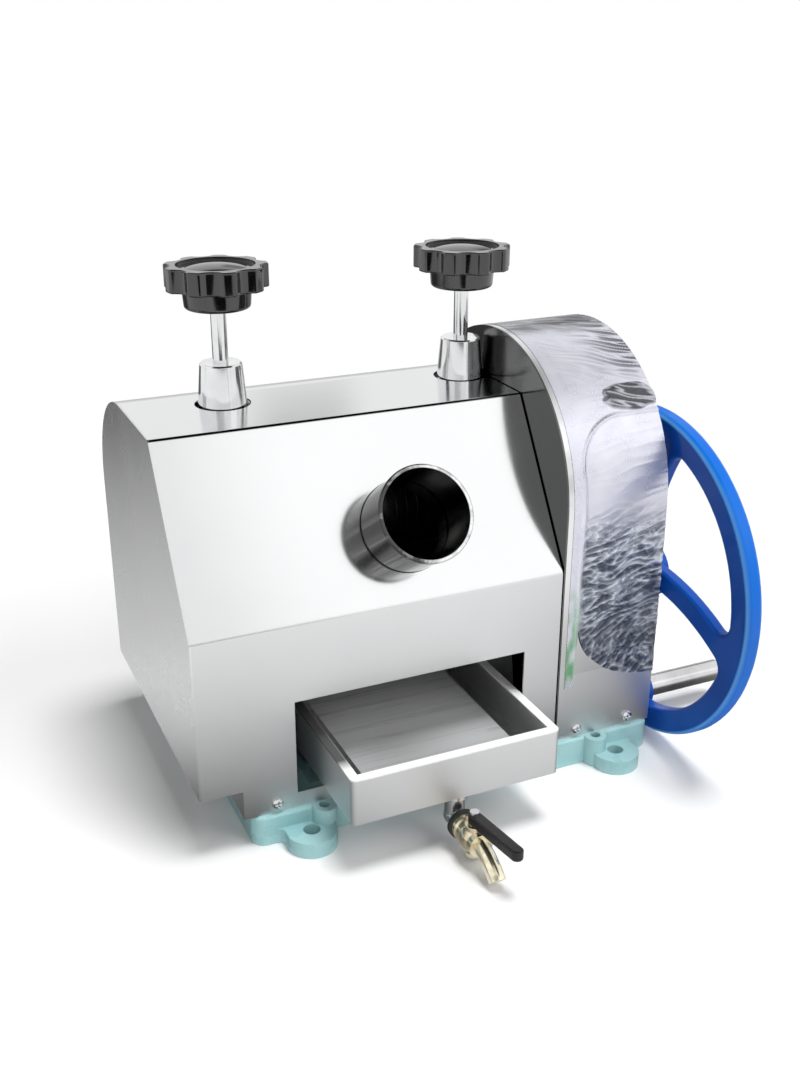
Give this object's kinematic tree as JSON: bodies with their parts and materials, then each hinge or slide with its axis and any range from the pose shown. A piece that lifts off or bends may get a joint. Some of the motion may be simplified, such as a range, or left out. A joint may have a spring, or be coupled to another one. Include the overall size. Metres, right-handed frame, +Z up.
{
  "type": "hand-cranked roller juice extractor",
  "caption": "Bench-top hand-cranked roller press that squeezes juice from cane fed through a sloped tube into a pull-out tray with a tap, tightened by knobs on top.",
  "frame": {"origin": "on the floor, in the middle of the base casting's bolt holes", "axes": "+X along the rollers towards the hand wheel, +Y to the back, +Z up"},
  "size_m": [0.4228, 0.361, 0.3452],
  "materials": {
    "teal_casting": "pale teal gloss paint on a casting",
    "grey_casting": "grey primer on a casting",
    "polished_sheet": "mirror-polished stainless sheet",
    "brushed_sheet": "brushed stainless sheet",
    "bare_steel": "turned or milled steel",
    "bronze": "turned bronze",
    "blue_paint": "royal blue gloss paint on a casting",
    "chrome": "bright chrome plate",
    "black_knob": "moulded, semi-gloss",
    "brass": "polished cast brass",
    "black_rubber": "moulded rubber",
    "buffer_rubber": "cast elastomer",
    "black_lever": "moulded, satin",
    "clear_film": "clear, crinkled"
  },
  "bodies": {
    "frame": {"base_casting": "teal_casting", "foot_bolts": "bare_steel", "left_side_frame": "grey_casting", "right_side_frame": "grey_casting", "bearing_blocks": "grey_casting", "roller_bushes": "bronze", "bridges": "grey_casting", "bridge_bolts": "bare_steel", "wheel_bush": "bronze", "turner_plate": "bare_steel", "casing_shell": "polished_sheet", "left_end_panel": "polished_sheet", "panel_screws": "bare_steel", "inlet_tube": "polished_sheet", "rear_chute": "polished_sheet", "gear_cover": "polished_sheet", "gear_backplate": "polished_sheet", "protective_film": "clear_film", "left_sleeve": "chrome", "right_sleeve": "chrome", "tray_rails": "bare_steel", "left_buffer": "buffer_rubber", "right_buffer": "buffer_rubber"},
    "hand_wheel": {"hand_wheel": "blue_paint", "wheel_shaft": "bare_steel", "drive_pinion": "bare_steel", "wheel_keys": "bare_steel", "wheel_nut": "bare_steel", "handle_spindle": "bare_steel"},
    "handle_grip": {"handle_grip": "bare_steel"},
    "upper_roller": {"upper_roller": "bare_steel", "upper_roller_gear": "bare_steel", "drive_gear": "bare_steel", "gear_spacer": "bare_steel", "upper_keys": "bare_steel", "upper_nut": "bare_steel"},
    "front_roller": {"front_roller": "bare_steel", "front_roller_gear": "bare_steel", "front_key": "bare_steel", "front_nut": "bare_steel"},
    "rear_roller": {"rear_roller": "bare_steel", "rear_roller_gear": "bare_steel", "rear_key": "bare_steel", "rear_nut": "bare_steel"},
    "tray": {"tray": "polished_sheet", "drip_plate": "brushed_sheet", "tap_nipple": "chrome", "tap_locknut": "chrome", "tap_gasket": "black_rubber", "tap_body": "brass"},
    "tap_lever": {"tap_lever": "black_lever", "tap_plug": "brass", "lever_screw": "chrome"},
    "left_pad": {"left_pad": "bare_steel"},
    "left_knob": {"left_knob": "black_knob", "left_screw": "chrome"},
    "right_pad": {"right_pad": "bare_steel"},
    "right_knob": {"right_knob": "black_knob", "right_screw": "chrome"}
  },
  "joints": [
    {"name": "wheel_spin", "type": "hinge", "parent": "frame", "child": "hand_wheel", "pos_m": [0.161, -0.07499, 0.1228], "axis": [1, 0, 0], "continuous": true},
    {"name": "grip_spin", "type": "hinge", "parent": "hand_wheel", "child": "handle_grip", "pos_m": [0.2044, -0.07147, 0.02186], "axis": [1, 0, 0], "continuous": true},
    {"name": "upper_roller_spin", "type": "hinge", "parent": "frame", "child": "upper_roller", "pos_m": [-0.0322, 0.0145, 0.16742], "axis": [1, 0, 0], "continuous": true},
    {"name": "front_roller_spin", "type": "hinge", "parent": "frame", "child": "front_roller", "pos_m": [-0.0322, -0.0225, 0.1152], "axis": [1, 0, 0], "continuous": true},
    {"name": "rear_roller_spin", "type": "hinge", "parent": "frame", "child": "rear_roller", "pos_m": [-0.0322, 0.0515, 0.1152], "axis": [1, 0, 0], "continuous": true},
    {"name": "tray_slide", "type": "slide", "parent": "frame", "child": "tray", "axis": [0, -1, 0], "range_m": [-0.025, 0.14]},
    {"name": "lever_turn", "type": "hinge", "parent": "tray", "child": "tap_lever", "pos_m": [-0.028, -0.178, 0.0272], "axis": [0, 0, 1], "range_deg": [-9, 81]},
    {"name": "left_pad_slide", "type": "slide", "parent": "frame", "child": "left_pad", "axis": [0, 0, 1], "range_m": [-0.006, 0.003], "deforming": ["left_buffer"]},
    {"name": "left_knob_turn", "type": "hinge", "parent": "left_pad", "child": "left_knob", "pos_m": [-0.1184, 0.0145, 0.3175], "axis": [0, 0, 1], "range_deg": [-1441, 721]},
    {"name": "right_pad_slide", "type": "slide", "parent": "frame", "child": "right_pad", "axis": [0, 0, 1], "range_m": [-0.006, 0.003], "deforming": ["right_buffer"]},
    {"name": "right_knob_turn", "type": "hinge", "parent": "right_pad", "child": "right_knob", "pos_m": [0.054, 0.0145, 0.3175], "axis": [0, 0, 1], "range_deg": [-1441, 721]}
  ],
  "couplings": [
    {"joint": "upper_roller_spin", "follows": "wheel_spin", "ratio": -0.31579},
    {"joint": "front_roller_spin", "follows": "wheel_spin", "ratio": 0.31579},
    {"joint": "rear_roller_spin", "follows": "wheel_spin", "ratio": 0.31579},
    {"joint": "left_knob_turn", "follows": "left_pad_slide", "rad_per_m": 4188.8},
    {"joint": "right_knob_turn", "follows": "right_pad_slide", "rad_per_m": 4188.8}
  ]
}
